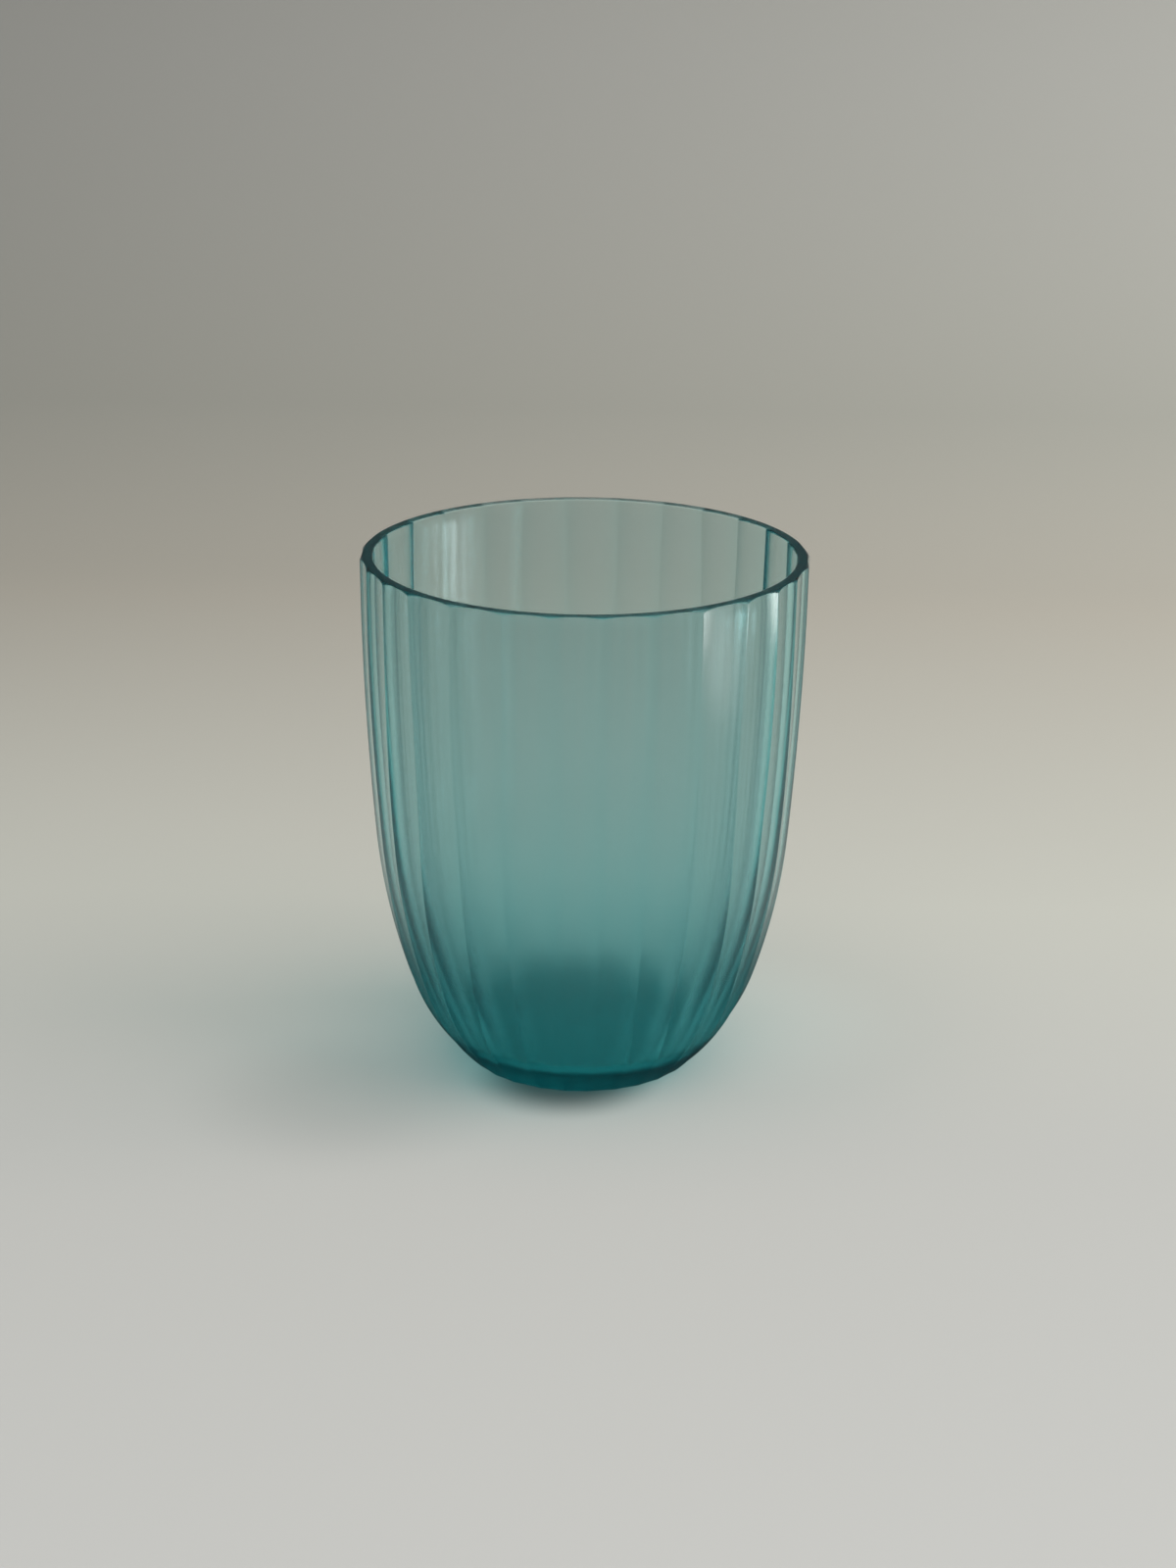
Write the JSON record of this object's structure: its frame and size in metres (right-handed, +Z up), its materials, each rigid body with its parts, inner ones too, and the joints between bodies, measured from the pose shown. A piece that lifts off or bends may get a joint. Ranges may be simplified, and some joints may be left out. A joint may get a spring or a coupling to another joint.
{
  "type": "juice glass",
  "caption": "Small tumbler of clear teal glass with flat panels cut all round, a rounded bowl bottom, a scalloped rim edge and a thick foot; holds a serving of juice.",
  "frame": {"origin": "centre of the foot, on the plane the glass stands on", "axes": "+Z up along the axis of the glass to the rim; +X and +Y each point at the middle of a panel"},
  "size_m": [0.076, 0.076, 0.091],
  "materials": {
    "tinted_glass": "clear tinted glass, polished, with faint hand-cut waviness in the panels"
  },
  "bodies": {
    "root": {"tumbler": "tinted_glass"}
  },
  "joints": []
}
